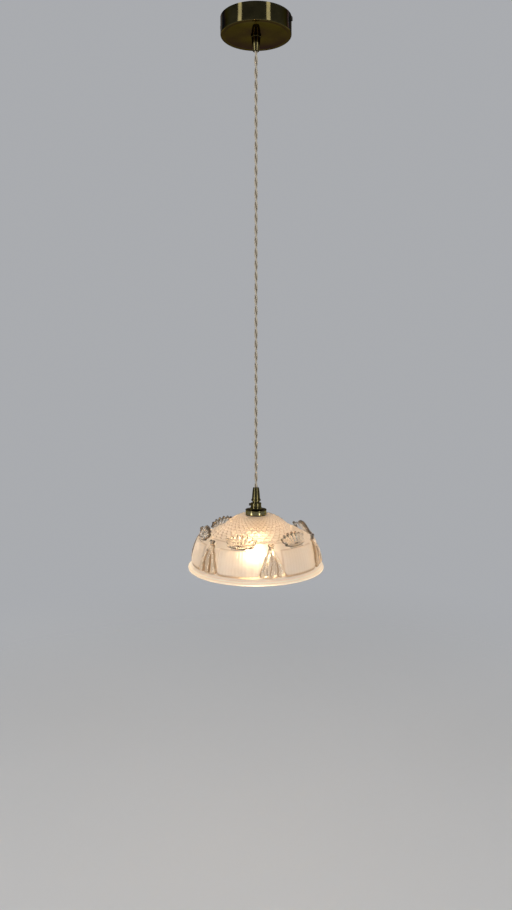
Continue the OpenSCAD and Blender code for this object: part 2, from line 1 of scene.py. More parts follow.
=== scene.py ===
import math
import bpy
import numpy as np
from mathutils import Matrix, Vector


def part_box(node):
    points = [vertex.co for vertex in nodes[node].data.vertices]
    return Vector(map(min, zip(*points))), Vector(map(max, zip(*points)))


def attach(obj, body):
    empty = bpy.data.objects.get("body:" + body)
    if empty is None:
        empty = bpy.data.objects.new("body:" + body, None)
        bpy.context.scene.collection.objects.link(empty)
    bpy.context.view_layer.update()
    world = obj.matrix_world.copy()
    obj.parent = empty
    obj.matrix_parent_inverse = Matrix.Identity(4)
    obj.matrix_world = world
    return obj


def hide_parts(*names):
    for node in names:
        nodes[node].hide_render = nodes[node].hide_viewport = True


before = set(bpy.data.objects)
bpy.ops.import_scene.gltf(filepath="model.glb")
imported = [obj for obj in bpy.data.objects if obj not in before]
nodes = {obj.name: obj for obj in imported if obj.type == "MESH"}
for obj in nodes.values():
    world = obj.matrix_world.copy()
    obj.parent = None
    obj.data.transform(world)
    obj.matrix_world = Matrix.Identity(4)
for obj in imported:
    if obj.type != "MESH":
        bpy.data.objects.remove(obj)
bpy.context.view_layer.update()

scene = bpy.context.scene
mm = 0.001


def topOf(node):
    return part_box(node)[1][2]


def lowOf(node):
    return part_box(node)[0][2]


def middleOf(node):
    return (lowOf(node) + topOf(node)) / 2


def extent(node):
    # a turned piece's outer radius, foot and top in mm
    low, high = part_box(node)
    return high[0] / mm, low[2] / mm, high[2] / mm


def deselectAll():
    if bpy.context.object and bpy.context.object.mode != "OBJECT":
        bpy.ops.object.mode_set(mode="OBJECT")
    bpy.ops.object.select_all(action="DESELECT")


def pickOnly(piece):
    deselectAll()
    piece.select_set(True)
    bpy.context.view_layer.objects.active = piece


def settle(piece, body, slot, *replaced):
    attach(piece, body)
    if replaced:
        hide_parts(*replaced)


def aimAt(piece, place, direction):
    piece.location = place
    piece.rotation_mode = "QUATERNION"
    piece.rotation_quaternion = Vector(direction).to_track_quat("-Z", "Y")
    scene.collection.objects.link(piece)


def aroundLamp(turn, distance, height):
    return Vector((distance * math.sin(turn), -distance * math.cos(turn), height))


print("stage: camera")
cameraView = {"azimuth": 16.0, "distance": 1.2913, "height": -0.5725, "pitch": 7.38, "lens": 28.42, "sensor": 36}


def placeCamera():
    turn = math.radians(cameraView["azimuth"])
    dip = math.radians(cameraView["pitch"])
    camera = bpy.data.objects.new("studioCamera", bpy.data.cameras.new("studioCamera"))
    camera.data.sensor_width = cameraView["sensor"]
    camera.data.lens = cameraView["lens"]
    aim = (-math.sin(turn) * math.cos(dip), math.cos(turn) * math.cos(dip), -math.sin(dip))
    aimAt(camera, aroundLamp(turn, cameraView["distance"], cameraView["height"]), aim)
    scene.camera = camera


placeCamera()


def fill(tree, node, values):
    # each input takes either a link from another node or a plain value
    for key, value in values.items():
        if isinstance(value, bpy.types.NodeSocket):
            tree.links.new(value, node.inputs[key])
        else:
            node.inputs[key].default_value = value


def addNode(tree, kind, values=None, **settings):
    node = tree.nodes.new(kind)
    for key, value in settings.items():
        setattr(node, key, value)
    fill(tree, node, values or {})
    return node


def newMaterial(name):
    material = bpy.data.materials.new(name)
    material.use_nodes = True
    tree = material.node_tree
    return material, tree, tree.nodes["Principled BSDF"]


def surfaceOut(tree, shaderOut):
    fill(tree, tree.nodes["Material Output"], {"Surface": shaderOut})


def noise(tree, scale, detail=3.0, stretch=(1, 1, 1)):
    # soft noise on object coordinates, squeezed along an axis where wanted
    place = addNode(tree, "ShaderNodeTexCoord").outputs["Object"]
    mapping = addNode(tree, "ShaderNodeMapping", {"Vector": place, "Scale": stretch})
    values = {"Vector": mapping.outputs["Vector"], "Scale": scale, "Detail": detail}
    return addNode(tree, "ShaderNodeTexNoise", values).outputs[0]


def ramp(tree, source, stops):
    node = addNode(tree, "ShaderNodeValToRGB", {"Fac": source})
    elements = node.color_ramp.elements
    while len(elements) < len(stops):
        elements.new(0.5)
    for element, (place, colour) in zip(elements, stops):
        element.position = place
        element.color = (*colour, 1)
    return node.outputs["Color"]


def spread(tree, source, low, high, start=0.0, end=1.0, **settings):
    # from start..end to low..high
    values = {"Value": source, "From Min": start, "From Max": end, "To Min": low, "To Max": high}
    return addNode(tree, "ShaderNodeMapRange", values, **settings).outputs["Result"]


def calc(tree, operation, *terms):
    return addNode(tree, "ShaderNodeMath", dict(enumerate(terms)), operation=operation).outputs[0]


def mixTone(tree, share, first, second, **settings):
    values = {"Factor": share, "A": first, "B": second}
    return addNode(tree, "ShaderNodeMix", values, data_type="RGBA", **settings).outputs["Result"]


def mixShader(tree, share, first, second):
    return addNode(tree, "ShaderNodeMixShader", {0: share, 1: first, 2: second}).outputs["Shader"]


def heightOf(tree, kind):
    # the upright part of a texture coordinate
    place = addNode(tree, "ShaderNodeTexCoord").outputs[kind]
    return addNode(tree, "ShaderNodeSeparateXYZ", {"Vector": place}).outputs["Z"]


def lengthOf(tree, vector):
    return addNode(tree, "ShaderNodeVectorMath", {0: vector}, operation="LENGTH").outputs["Value"]


def attribute(tree, name):
    return addNode(tree, "ShaderNodeAttribute", attribute_name=name).outputs["Fac"]


def addBump(tree, shader, source, strength, distance=0.0002):
    values = {"Strength": strength, "Distance": distance, "Height": source}
    bump = addNode(tree, "ShaderNodeBump", values).outputs["Normal"]
    fill(tree, shader, {"Normal": bump})
    return bump


def surfaceMaterial(name, dark, light, roughness, metallic, grain, bump=0.1, stretch=(1, 1, 1), fineGrain=900.0):
    material, tree, shader = newMaterial(name)
    tone = ramp(tree, noise(tree, grain, 4.0, stretch), [(0.3, dark), (0.7, light)])
    fine = noise(tree, fineGrain, 2.0, stretch)
    fill(tree, shader, {"Base Color": tone, "Roughness": spread(tree, fine, *roughness), "Metallic": metallic})
    addBump(tree, shader, fine, bump)
    return material


brassFinish = {
    "cupDark": (0.034, 0.029, 0.012), "cupLight": (0.062, 0.052, 0.021), "edgeTone": (0.3, 0.27, 0.15),
    "underside": (0.13, 0.102, 0.042), "paintedCupLight": (0.27, 0.235, 0.115), "paintedCupLightTop": 8.3 * mm,
    "turnedDark": (0.045, 0.039, 0.016), "turnedLight": (0.1, 0.085, 0.034),
    "roughness": (0.07, 0.14), "coat": 0.08, "bump": 0.015,
}


def antiqueBrass(name, dark, light, pale=None, paintedLightBelow=None):
    # lacquered brass, darker in soft clouds, with fine turning lines round the axis
    # a paler tone is painted reflection: it goes on faces that point down, or on all that lies under a level
    material, tree, shader = newMaterial(name)
    cloud = noise(tree, 35.0, 5.0)
    blend = calc(tree, "MULTIPLY_ADD", noise(tree, 420.0, 3.0), 0.35, cloud)
    tone = ramp(tree, blend, [(0.5, dark), (0.82, light)])
    if pale:
        kind, start, end = ("Object", paintedLightBelow, paintedLightBelow - 0.5 * mm) if paintedLightBelow else ("Normal", -0.6, -0.95)
        share = spread(tree, heightOf(tree, kind), 0.0, 1.0, start, end)
        paintedLightTone = ramp(tree, blend, [(0.5, tuple(0.8 * c for c in pale)), (0.82, pale)])
        tone = mixTone(tree, share, tone, paintedLightTone)
    fill(tree, shader, {
        "Base Color": tone, "Roughness": spread(tree, cloud, *brassFinish["roughness"]), "Metallic": 1.0,
        "Specular Tint": (*brassFinish["edgeTone"], 1), "Coat Weight": brassFinish["coat"], "Coat Roughness": 0.08,
    })
    addBump(tree, shader, noise(tree, 60.0, 2.0, (1, 1, 40)), brassFinish["bump"])
    return material


# the canopy's underside is painted paler, as the brighter reflection it shows
cupBrass = antiqueBrass("cupBrass", brassFinish["cupDark"], brassFinish["cupLight"], brassFinish["underside"])
turnedTones = brassFinish["turnedDark"], brassFinish["turnedLight"]
turnedBrass = antiqueBrass("turnedBrass", *turnedTones)
# the cup below the flare is painted paler, as the brighter reflection it shows
holderBrass = antiqueBrass("holderBrass", *turnedTones, brassFinish["paintedCupLight"],
                           lowOf("lampholder_cap") + brassFinish["paintedCupLightTop"])

plainFinishes = {
    # dark tone, light tone, roughness, metallic, grain; then bump, stretch and fine grain where they differ
    "plainBrass": ((0.62, 0.45, 0.17), (0.78, 0.6, 0.28), (0.22, 0.38), 1.0, 50.0),
    "zincSteel": ((0.5, 0.51, 0.53), (0.68, 0.69, 0.71), (0.3, 0.5), 1.0, 90.0, 0.15, (1, 6, 1), 700.0),
    "darkSteel": ((0.035, 0.03, 0.024), (0.09, 0.075, 0.055), (0.25, 0.42), 1.0, 200.0),
    "brightSteel": ((0.55, 0.56, 0.58), (0.72, 0.73, 0.75), (0.18, 0.3), 1.0, 120.0),
    "blockPlastic": ((0.78, 0.77, 0.73), (0.86, 0.85, 0.82), (0.42, 0.55), 0.0, 30.0, 0.2),
    "porcelainGlaze": ((0.8, 0.77, 0.7), (0.88, 0.86, 0.8), (0.08, 0.16), 0.0, 25.0, 0.05),
    "fibreBlack": ((0.02, 0.018, 0.016), (0.05, 0.045, 0.04), (0.7, 0.9), 0.0, 300.0, 0.4),
    "vitriteBlack": ((0.01, 0.01, 0.012), (0.025, 0.025, 0.03), (0.06, 0.12), 0.0, 60.0, 0.03),
    "dullSolder": ((0.42, 0.42, 0.43), (0.6, 0.6, 0.6), (0.35, 0.55), 1.0, 400.0, 0.4),
    "bulbMetal": ((0.66, 0.66, 0.66), (0.8, 0.8, 0.8), (0.2, 0.34), 1.0, 80.0, 0.12, (1, 1, 12), 800.0),
    "brownCore": ((0.13, 0.05, 0.02), (0.19, 0.08, 0.03), (0.3, 0.4), 0.0, 90.0),
    "blueCore": ((0.03, 0.1, 0.32), (0.05, 0.15, 0.42), (0.3, 0.4), 0.0, 90.0),
}
plain = {name: surfaceMaterial(name, *values) for name, values in plainFinishes.items()}

flexFabric = {
    "pale": (0.47, 0.42, 0.33), "weaveHollowShade": (0.27, 0.23, 0.165), "creaseShade": (0.4, 0.36, 0.31),
    "creaseShadeFrom": 0.0013, "creaseShadeTo": 0.0025, "braidAlong": 0.00125, "braidAround": 8,
    "roughness": (0.72, 0.9), "bump": 0.55, "bumpDepth": 0.00018, "sheen": 0.35,
}


def braidedFabric():
    # two sets of diagonal threads crossing on the strand's own map: u runs along it in metres, v once round it
    f = flexFabric
    material, tree, shader = newMaterial("braidedFabric")
    place = addNode(tree, "ShaderNodeUVMap", uv_map="strandMap").outputs["UV"]
    split = addNode(tree, "ShaderNodeSeparateXYZ", {"Vector": place})
    waves = []
    for side in (-1, 1):
        along = calc(tree, "MULTIPLY", split.outputs["X"], 2 * math.pi / f["braidAlong"])
        around = side * 2 * math.pi * f["braidAround"]
        waves.append(calc(tree, "SINE", calc(tree, "MULTIPLY_ADD", split.outputs["Y"], around, along)))
    height = spread(tree, calc(tree, "MAXIMUM", *waves), 0.0, 1.0, -1.0)
    tone = calc(tree, "MULTIPLY_ADD", noise(tree, 30.0), 0.3, height)
    # painted shade: threads go darker down into the hollows between them
    thread = ramp(tree, tone, [(0.3, f["weaveHollowShade"]), (0.95, f["pale"])])
    # painted shade darkens the crease between the strands, near the flex's own axis
    place = addNode(tree, "ShaderNodeTexCoord").outputs["Object"]
    flat = addNode(tree, "ShaderNodeVectorMath", {0: place, 1: (1, 1, 0)}, operation="MULTIPLY")
    depth = spread(tree, lengthOf(tree, flat.outputs["Vector"]), 0.0, 1.0, f["creaseShadeFrom"], f["creaseShadeTo"])
    paintedShade = ramp(tree, depth, [(0.0, f["creaseShade"]), (1.0, (1.0, 1.0, 1.0))])
    fuzz = noise(tree, 1500.0)
    fill(tree, shader, {
        "Base Color": mixTone(tree, 1.0, thread, paintedShade, blend_type="MULTIPLY"),
        "Roughness": spread(tree, fuzz, *f["roughness"]), "Sheen Weight": f["sheen"], "Sheen Roughness": 0.5,
    })
    addBump(tree, shader, calc(tree, "MULTIPLY_ADD", fuzz, 0.35, height), f["bump"], f["bumpDepth"])
    return material


fabric = braidedFabric()


def tubeAlong(centres, radius, sides):
    # rings carried along a line without twisting, closed at both ends
    centres = np.asarray(centres, float)
    tangents = np.gradient(centres, axis=0)
    tangents /= np.linalg.norm(tangents, axis=1)[:, None]
    side = np.cross(tangents[0], (0.31, 0.87, 0.11))  # any direction off the line will do
    side /= np.linalg.norm(side)
    points, faces, uv = [], [], []
    travelled = np.concatenate([[0], np.cumsum(np.linalg.norm(np.diff(centres, axis=0), axis=1))])
    for i, centre in enumerate(centres):
        side = side - tangents[i] * side.dot(tangents[i])
        side /= np.linalg.norm(side)
        other = np.cross(tangents[i], side)
        for k in range(sides):
            angle = 2 * math.pi * k / sides
            points.append(centre + radius * (math.cos(angle) * side + math.sin(angle) * other))
    for i in range(len(centres) - 1):
        for k in range(sides):
            n = (k + 1) % sides
            faces.append((i * sides + k, i * sides + n, (i + 1) * sides + n, (i + 1) * sides + k))
            uv += [(travelled[a], b / sides) for a, b in ((i, k), (i, k + 1), (i + 1, k + 1), (i + 1, k))]
    last = (len(centres) - 1) * sides
    faces += [tuple(range(sides - 1, -1, -1)), tuple(last + k for k in range(sides))]
    uv += [(end, k / sides) for end in (0, travelled[-1]) for k in range(sides)]
    return points, faces, uv


def joinTubes(name, tubes, material):
    points, faces, uv = [], [], []
    for tubePoints, tubeFaces, tubeUv in tubes:
        start = len(points)
        points += [tuple(p) for p in tubePoints]
        faces += [tuple(start + i for i in face) for face in tubeFaces]
        uv += tubeUv
    mesh = bpy.data.meshes.new(name)
    mesh.from_pydata(points, [], faces)
    mesh.uv_layers.new(name="strandMap").data.foreach_set("uv", np.asarray(uv, float).ravel())
    piece = bpy.data.objects.new(name, mesh)
    scene.collection.objects.link(piece)
    mesh.materials.append(material)
    mesh.polygons.foreach_set("use_smooth", [True] * len(mesh.polygons))
    return piece


print("stage: flex")
flexPair = {
    "strandRadius": 1.53 * mm, "offset": 1.47 * mm, "halfTwist": 19.8 * mm, "phase": math.radians(60),
    "ringSpacing": 1.5 * mm, "sides": 14, "intoGrip": 2.5 * mm, "tailGap": 0.2 * mm, "routeSteps": 24,
}
flexNeck = {"levels": (1.6, 0.8, 0, -0.8, -1.6), "radius": 0.9 * mm, "sides": 12}
gripMouth = lowOf("canopy_cord_grip")
flexTop = gripMouth + flexPair["intoGrip"]
flexLow = lowOf("flex")


def twistedPair(name, high, low):
    rings = max(4, round((high - low) / flexPair["ringSpacing"]))
    levels = np.linspace(high, low, rings + 1)
    tubes = []
    for half in (0, math.pi):
        angle = flexPair["phase"] + half + math.pi * (gripMouth - levels) / flexPair["halfTwist"]
        across = flexPair["offset"] * np.stack([np.cos(angle), np.sin(angle)], axis=1)
        tubes.append(tubeAlong(np.column_stack([across, levels]), flexPair["strandRadius"], flexPair["sides"]))
    return joinTubes(name, tubes, fabric)


flexPiece = twistedPair("twistedFlex", flexTop, flexLow)
settle(flexPiece, "cord", "flex_fabric", "flex")

neckLine = [(0, 0, gripMouth + z * mm) for z in flexNeck["levels"]]
neckPiece = joinTubes("flexNeck", [tubeAlong(neckLine, flexNeck["radius"], flexNeck["sides"])], fabric)
settle(neckPiece, "bend", "flex_fabric", "flex_neck")
upperTail = twistedPair("upperFlexTail", topOf("upper_flex_tail"), flexTop + flexPair["tailGap"])
settle(upperTail, "ceiling", "flex_fabric", "upper_flex_tail")
lowerTail = twistedPair("lowerFlexTail", flexLow - flexPair["tailGap"], lowOf("lower_flex_tail"))
settle(lowerTail, "lamp", "flex_fabric", "lower_flex_tail")

coreWire = {
    "radius": 1.3 * mm, "sides": 16, "steps": 6,
    "upperRoute": [(0, 1.5, -18), (0, 1.5, -14), (2, 2, -10.5), (6, 3.5, -9.5), (11, 4, -9.5), (16, 4, -9.5)],
    "lowerRoute": [(0, 1.5, 0), (0, 1.6, -3), (-0.6, 2.6, -6), (-1.3, 4.8, -8.2), (-1.8, 6.5, -9.5),
                   (-1.8, 6.5, -10.7)],
}


def smoothLine(points, steps):
    # a line through all the points with rounded corners
    p = np.asarray(points, float)
    p = np.vstack([2 * p[0] - p[1], p, 2 * p[-1] - p[-2]])
    out = []
    for before, here, there, after in zip(p, p[1:], p[2:], p[3:]):
        bend = 2 * before - 5 * here + 4 * there - after
        turn = 3 * here - before - 3 * there + after
        for t in np.linspace(0, 1, steps, endpoint=False):
            out.append(0.5 * (2 * here + (there - before) * t + bend * t * t + turn * t ** 3))
    out.append(p[-2])
    return np.array(out)


# the two cores mirror each other across the flex
for end, level, body in (("upper", 0, "ceiling"), ("lower", lowOf("lower_flex_tail") / mm, "lamp")):
    for core, side, tone in (("live", 1, "brownCore"), ("neutral", -1, "blueCore")):
        route = np.array([(x, side * y, z + level) for x, y, z in coreWire[end + "Route"]], float)
        tube = tubeAlong(smoothLine(route * mm, coreWire["steps"]), coreWire["radius"], coreWire["sides"])
        piece = joinTubes(f"{core}Core{end.capitalize()}", [tube], plain[tone])
        settle(piece, body, f"core_{core}", f"{end}_core_{core}")


def smoothUpTo(piece, degrees):
    pickOnly(piece)
    bpy.ops.object.shade_smooth_by_angle(angle=math.radians(degrees))


def latheFrom(name, profile, steps, material):
    # a profile in mm drawn point by point from one corner, then spun round the lamp's axis
    profile = [(r * mm, z * mm) for r, z in profile]
    deselectAll()
    bpy.ops.mesh.primitive_plane_add(size=2 * mm, location=(0, 0, 0))
    piece = bpy.context.object
    piece.name = name
    piece.data.name = name
    bpy.ops.object.mode_set(mode="EDIT")
    bpy.ops.mesh.merge(type="CENTER")
    bpy.ops.transform.translate(value=(profile[0][0], 0, profile[0][1]))
    for (r0, z0), (r1, z1) in zip(profile, profile[1:]):
        bpy.ops.mesh.extrude_region_move(TRANSFORM_OT_translate={"value": (r1 - r0, 0, z1 - z0)})
    bpy.ops.mesh.select_all(action="SELECT")
    bpy.ops.mesh.spin(steps=steps, angle=2 * math.pi, center=(0, 0, 0), axis=(0, 0, 1))
    bpy.ops.mesh.select_all(action="SELECT")
    bpy.ops.mesh.remove_doubles(threshold=0.002 * mm)
    bpy.ops.mesh.normals_make_consistent(inside=False)
    bpy.ops.object.mode_set(mode="OBJECT")
    piece.data.materials.clear()
    piece.data.materials.append(material)
    smoothUpTo(piece, 32)
    return piece


def roundCorner(centre, radius, start, end, steps):
    angles = np.radians(np.linspace(start, end, steps + 1))
    return [(centre[0] + radius * math.cos(a), centre[1] + radius * math.sin(a)) for a in angles]


def drill(piece, x, level, radius, depth):
    # a round hole along X through one wall
    deselectAll()
    bpy.ops.mesh.primitive_cylinder_add(vertices=32, radius=radius * mm, depth=depth * mm,
                                        location=(x * mm, 0, level), rotation=(0, math.pi / 2, 0))
    cutter = bpy.context.object
    pickOnly(piece)
    hole = piece.modifiers.new("hole", "BOOLEAN")
    hole.operation = "DIFFERENCE"
    hole.object = cutter
    bpy.ops.object.modifier_apply(modifier="hole")
    bpy.data.objects.remove(cutter)


def readPoints(piece, what="co"):
    values = np.empty(len(piece.data.vertices) * 3)
    piece.data.vertices.foreach_get(what, values)
    return values.reshape(-1, 3)


def movePoints(piece, points):
    piece.data.vertices.foreach_set("co", points.ravel())
    piece.data.update()


def addLayer(piece, name, values):
    layer = piece.data.attributes.new(name, "FLOAT", "POINT")
    layer.data.foreach_set("value", values.astype(np.float32))


print("stage: brass")
ceilingCup = {"wall": 1.2, "edge": 1.6, "hole": 5.2, "groove": 6.0, "steps": 192, "screwHole": 2.3, "screwDepth": 12}


def buildCup():
    c = ceilingCup
    r, z, ceiling = extent("canopy")
    edge, wall, hole, groove = c["edge"], c["wall"], c["hole"], r - c["groove"]
    profile = [(r, ceiling), (r, -2), (r, -8), (r, -16)]
    profile += roundCorner((r - edge, z + edge), edge, 0, -90, 8)
    profile += [(groove, z), (groove - 0.6, z + 0.12), (groove - 1.2, z), (30, z), (12.5, z), (11.5, z + 0.1)]
    profile += [(hole, z + 0.1), (hole, z + wall), (30, z + wall)]
    profile += roundCorner((r - wall - 1, z + wall + 1), 1, -90, 0, 5)
    profile += [(r - wall, -6), (r - wall, -0.25), (r - wall + 0.25, ceiling), (r, ceiling)]
    cup = latheFrom("ceilingCup", profile, c["steps"], cupBrass)
    for side in (-1, 1):
        drill(cup, side * (r - 2), middleOf("canopy_screw_left"), c["screwHole"], c["screwDepth"])
    smoothUpTo(cup, 32)
    settle(cup, "ceiling", "brass", "canopy")


buildCup()

cordGrip = {
    "flange": 2.6, "flangeWide": 1.2, "bore": 3.5, "tip": 5.6, "swell": 0.22, "nipple": 5.0,
    "thread": 1.0, "threadDepth": 0.45, "steps": 96,
}


def gripProfile(node, up):
    # from the bore's mouth over the cone and flange, down the threaded nipple and back up the bore
    g, height = cordGrip, gripHeight
    widest, low, high = extent(node)
    foot, tip, bore, base = widest - g["flangeWide"], g["tip"], g["bore"], g["flange"]
    nipple = high - low - height
    outline = [(bore, height), (tip - 0.9, height), (tip - 0.35, height - 0.3), (tip, height - 1)]
    for t in np.linspace(0.97, 0.03, 14):
        cone = foot + (tip - foot) * t + g["swell"] * math.sin(math.pi * t)
        outline.append((cone, base + 0.5 + (height - 1 - base - 0.5) * t))
    outline += [(foot, base + 0.25), (foot + 0.5, base), (widest - 0.35, base), (widest, base - 0.35)]
    outline += [(widest, 0.35), (widest - 0.3, 0)]
    root, crest = g["nipple"] - g["threadDepth"], g["nipple"] - 0.05
    outline.append((root, 0))
    for i in range(int((nipple - 1) / g["thread"])):
        z = -0.5 - i * g["thread"]
        outline += [(root, z), (crest, z - 0.45), (crest, z - 0.55)]
    outline += [(root, -nipple + 0.3), (root - 0.3, -nipple), (bore, -nipple), (bore, height)]
    zero = high - height if up else low + height
    return [(r, zero + (z if up else -z)) for r, z in outline]


gripHeight = (topOf("lamp_cord_grip") - topOf("lampholder_cap")) / mm
for name, body, node, up in (("upperCordGrip", "ceiling", "canopy_cord_grip", False),
                             ("lowerCordGrip", "lamp", "lamp_cord_grip", True)):
    grip = latheFrom(name, gripProfile(node, up), cordGrip["steps"], turnedBrass)
    settle(grip, body, "brass", node)

holderCap = {
    "bore": 5.1, "neck": 6.8, "neckHeight": 4.0, "collar": 9.8, "collarHeight": 7.4, "collarDip": 0.35,
    "flare": 14.5, "flareHeight": 5.0, "flareCurve": 5.4, "bead": 0.8, "wall": 1.1, "steps": 128,
    "screwX": -8.2, "screwHole": 1.5, "screwDepth": 6,
}


def buildHolderCap():
    s = holderCap
    widest, bottom, top = extent("lampholder_cap")
    cup, bore, neck, collar = widest - 0.4, s["bore"], s["neck"], s["collar"]
    collarTop = top - s["neckHeight"]
    collarLow = collarTop - s["collarHeight"]
    shoulder = collarLow - s["flareHeight"]
    inner, waist = cup - s["wall"], collar - s["collarDip"]
    profile = [(bore, top), (neck - 0.2, top), (neck, top - 0.2), (neck, top - 1.4), (neck - 0.6, top - 2.2),
               (neck, collarTop + 0.8), (neck + 0.4, collarTop)]
    profile += roundCorner((collar - 0.8, collarTop - 0.8), 0.8, 90, 0, 4)
    profile += [(collar, collarTop - 2.6), (waist, collarTop - 3.0), (waist, collarLow + 2.2),
                (collar, collarLow + 1.8)]
    profile += roundCorner((collar - 0.6, collarLow + 0.6), 0.6, 0, -80, 3)
    profile += roundCorner((s["flare"] + 0.6, shoulder + 5.9), s["flareCurve"], 191, 268, 9)
    profile += [(cup - 1.2, shoulder + 0.25), (cup - 0.9, shoulder + 0.3)]
    profile += roundCorner((cup - 0.4, shoulder - 0.5), s["bead"], 125, -55, 8)
    profile += [(cup, shoulder - 1.6), (cup, bottom + 1.0), (cup - 0.15, bottom + 0.85), (cup, bottom + 0.7),
                (cup, bottom + 0.2), (cup - 0.2, bottom), (inner, bottom), (inner, shoulder - 2.6),
                (14.7, shoulder - 2.5), (12, shoulder - 1.2), (bore, collarLow - 0.6), (bore, top)]
    cap = latheFrom("holderCap", profile, s["steps"], holderBrass)
    drill(cap, s["screwX"], middleOf("cap_locking_screw"), s["screwHole"], s["screwDepth"])
    smoothUpTo(cap, 32)
    settle(cap, "lamp", "brass", "lampholder_cap")


buildHolderCap()

holderSkirt = {"pitch": 1.6, "depth": 0.42, "steps": 96, "wall": 0.85, "rowGap": 0.4}


def buildSkirt():
    # the thread climbs as a helix, so every point's height sets how far out it stands
    s = holderSkirt
    r, bottom, top = extent("lampholder_skirt")
    outer, inner = r - 0.01, r - s["wall"]
    profile = [(outer, z) for z in np.linspace(top, bottom, int((top - bottom) / s["rowGap"]))]
    profile += [(inner, bottom), (inner, top), (outer, top)]
    skirt = latheFrom("holderSkirt", profile, s["steps"], turnedBrass)
    co = readPoints(skirt)
    radius, level = np.hypot(co[:, 0], co[:, 1]), co[:, 2] / mm
    turn = np.arctan2(co[:, 1], co[:, 0]) / (2 * math.pi)
    wave = np.abs(((level / s["pitch"] - turn) % 1.0) * 2 - 1)
    runOut = np.clip(np.minimum(top - level, level - bottom), 0, 1)
    inward = np.where(radius > (r - 0.3) * mm, s["depth"] * mm * wave * runOut, 0)
    co[:, :2] *= ((radius - inward) / radius)[:, None]
    movePoints(skirt, co)
    smoothUpTo(skirt, 40)
    settle(skirt, "lamp", "brass", "lampholder_skirt")


buildSkirt()

shadeRing = {"flange": 2.5, "body": 17.4, "bore": 14.6, "knurls": 36, "knurlDepth": 0.7, "steps": 216}


def buildShadeRing():
    s = shadeRing
    r, bottom, top = extent("shade_ring")
    body, bore, under = s["body"], s["bore"], top - s["flange"]
    profile = [(r - 0.3, top), (r, top - 0.3), (r, under + 0.3), (r - 0.3, under), (body, under)]
    profile += [(body, z) for z in np.linspace(under - 0.6, bottom + 0.7, 5)]
    profile += [(body - 0.6, bottom), (bore, bottom), (bore, top), (r - 0.3, top)]
    ring = latheFrom("shadeRing", profile, s["steps"], turnedBrass)
    co = readPoints(ring)
    radius, level = np.hypot(co[:, 0], co[:, 1]), co[:, 2]
    grip = (np.abs(radius - body * mm) < 0.02 * mm) & (level > (bottom + 0.5) * mm) & (level < (under - 0.3) * mm)
    ridge = (0.5 + 0.5 * np.cos(np.arctan2(co[:, 1], co[:, 0]) * s["knurls"])) ** 2
    co[:, :2] *= (1 - np.where(grip, s["knurlDepth"] * mm * ridge / radius, 0))[:, None]
    movePoints(ring, co)
    settle(ring, "lamp", "brass", "shade_ring")


buildShadeRing()

print("stage: bulb")
bulbGlass = {
    "neck": 10.4, "wall": 0.9, "steps": 96, "glow": 33.0, "topShare": 0.7, "warm": (1.0, 0.69, 0.38),
    "warmNeck": (1.0, 0.55, 0.25), "opalDark": (0.86, 0.8, 0.7), "opalLight": (0.92, 0.87, 0.78),
    "roughness": (0.1, 0.2),
}


def litOpal():
    # opal glass lit from within, a little dimmer and warmer towards the cap
    b = bulbGlass
    material, tree, shader = newMaterial("litOpal")
    height = spread(tree, heightOf(tree, "Object"), 0.0, 1.0, lowOf("bulb_globe"), topOf("bulb_globe"))
    cloud = noise(tree, 70.0, 2.0)
    fill(tree, shader, {
        "Emission Color": ramp(tree, height, [(0.0, b["warm"]), (0.62, b["warm"]), (0.95, b["warmNeck"])]),
        "Emission Strength": spread(tree, height, b["glow"], b["topShare"] * b["glow"], 0.2, 0.8),
        "Base Color": ramp(tree, cloud, [(0.3, b["opalDark"]), (0.7, b["opalLight"])]),
        "Roughness": spread(tree, cloud, *b["roughness"]),
    })
    return material


def buildBulb():
    r, bottom, top = extent("bulb_globe")
    centre = bottom + r
    neck, wall = bulbGlass["neck"], bulbGlass["wall"]
    profile = roundCorner((0, centre), r, -90, 36, 40)
    joinR, joinZ = profile[-1]
    for t in (0.2, 0.4, 0.6, 0.8, 1.0):
        sag = 0.5 * math.sin(math.pi * t)
        profile.append((joinR + (neck + 1.4 - joinR) * t, joinZ + (top - 6.5 - joinZ) * t - sag))
    profile += [(neck, top - 4), (neck, top), (neck - 1.0, top), (neck - 1.0, top - 6), (joinR - 1.2, joinZ)]
    profile += roundCorner((0, centre), r - wall, 34, -90, 30)
    globe = latheFrom("bulbGlobe", [(max(a, 0), z) for a, z in profile], bulbGlass["steps"], litOpal())
    settle(globe, "bulb", "opal_glass", "bulb_globe")


buildBulb()

print("stage: shade")
glassFinish = {
    "frostRough": (0.52, 0.68), "bareRough": 0.14, "bareShare": 0.4, "frostDark": (0.93, 0.86, 0.77),
    "frostLight": (0.99, 0.95, 0.89), "glowShare": 0.42, "glowDark": (0.93, 0.78, 0.61),
    "glowLight": (0.98, 0.86, 0.71), "creaseShadeTone": (0.36, 0.225, 0.11), "transmission": 0.85,
    "clearDark": (0.995, 0.98, 0.95), "clearLight": (1.0, 0.99, 0.965), "thick": (0.72, 0.62, 0.42), "density": 45.0,
    "flankShadeTone": (0.26, 0.16, 0.085), "deepShadeTone": (0.05, 0.04, 0.033), "rimGlowColour": (1.0, 0.79, 0.5),
    "frostShadow": (0.86, 0.78, 0.68), "clearShadow": (0.93, 0.9, 0.86),
}


def lampTransparent(tree, shaderOut, tint):
    # light from the bulb passes straight through, so that it falls on what is outside
    through = addNode(tree, "ShaderNodeBsdfTransparent", {"Color": (*tint, 1)}).outputs["BSDF"]
    shadowRay = addNode(tree, "ShaderNodeLightPath").outputs["Is Shadow Ray"]
    surfaceOut(tree, mixShader(tree, shadowRay, shaderOut, through))


